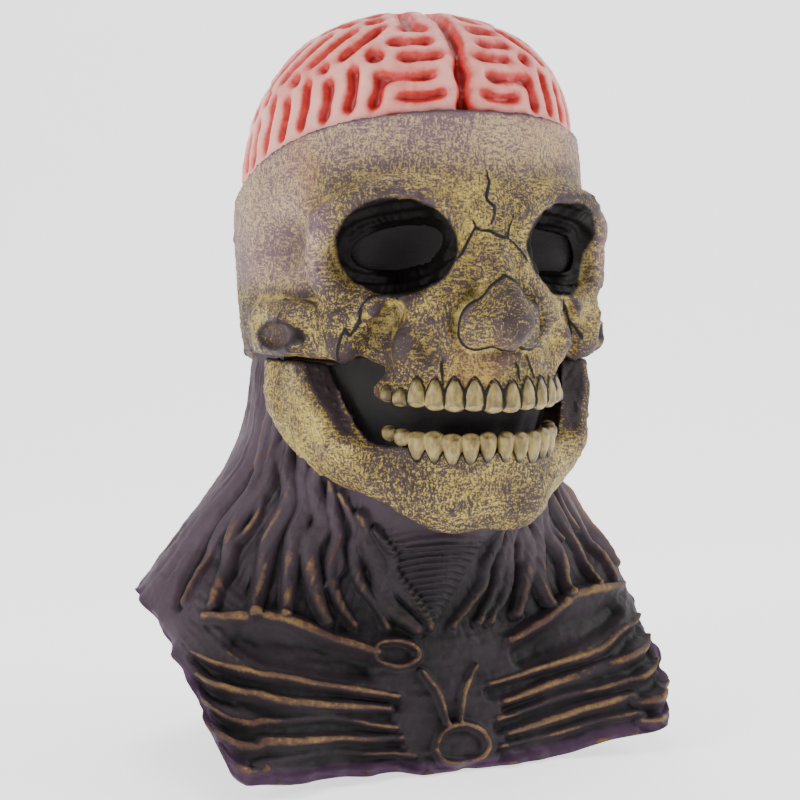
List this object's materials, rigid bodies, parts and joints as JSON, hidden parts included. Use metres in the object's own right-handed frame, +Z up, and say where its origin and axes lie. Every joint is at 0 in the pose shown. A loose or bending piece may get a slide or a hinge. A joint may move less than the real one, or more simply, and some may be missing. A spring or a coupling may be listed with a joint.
{
  "type": "latex halloween mask",
  "caption": "Full-head latex skull mask with an open brain case, a hinged lower jaw with teeth, a sinewy neck and a torn chest bib, padded with foam inside.",
  "frame": {"origin": "middle of the mask's box, at the surface the bib stands on", "axes": "+Z up along the head, the face looks along -Y, the mask's own right side is at -X"},
  "size_m": [0.2808, 0.2378, 0.394],
  "materials": {
    "bone_latex": "matt painted latex, dry-brushed",
    "brain_latex": "satin painted latex",
    "tooth_latex": "satin painted latex",
    "neck_latex": "satin painted latex, dry-brushed",
    "black_mesh": "matt woven",
    "foam": "open-cell foam",
    "plate_plastic": "moulded",
    "washer_plastic": "moulded",
    "pin_steel": "zinc plated"
  },
  "bodies": {
    "mask": {"skull_shell": "bone_latex", "brain_cap": "brain_latex", "upper_teeth": "tooth_latex", "eye_mesh_right": "black_mesh", "eye_mesh_left": "black_mesh", "neck_bib": "neck_latex", "mouth_lining": "black_mesh", "forehead_pad": "foam", "crown_pad": "foam", "nape_pad": "foam", "temple_pad_right": "foam", "temple_pad_left": "foam", "hinge_plate_right": "plate_plastic", "hinge_plate_left": "plate_plastic", "hinge_pin_right": "pin_steel", "hinge_pin_left": "pin_steel", "hinge_washer_right": "washer_plastic", "hinge_washer_left": "washer_plastic"},
    "jaw": {"jaw_shell": "bone_latex", "lower_teeth": "tooth_latex", "jaw_tab_right": "plate_plastic", "jaw_tab_left": "plate_plastic", "chin_pad": "foam"}
  },
  "joints": [
    {"name": "jaw_hinge", "type": "hinge", "parent": "mask", "child": "jaw", "pos_m": [0, -0.004, 0.223], "axis": [1, 0, 0], "range_deg": [-4.5, 8], "stiffness_Nm_per_rad": 2.3, "springref_deg": -1.72}
  ]
}
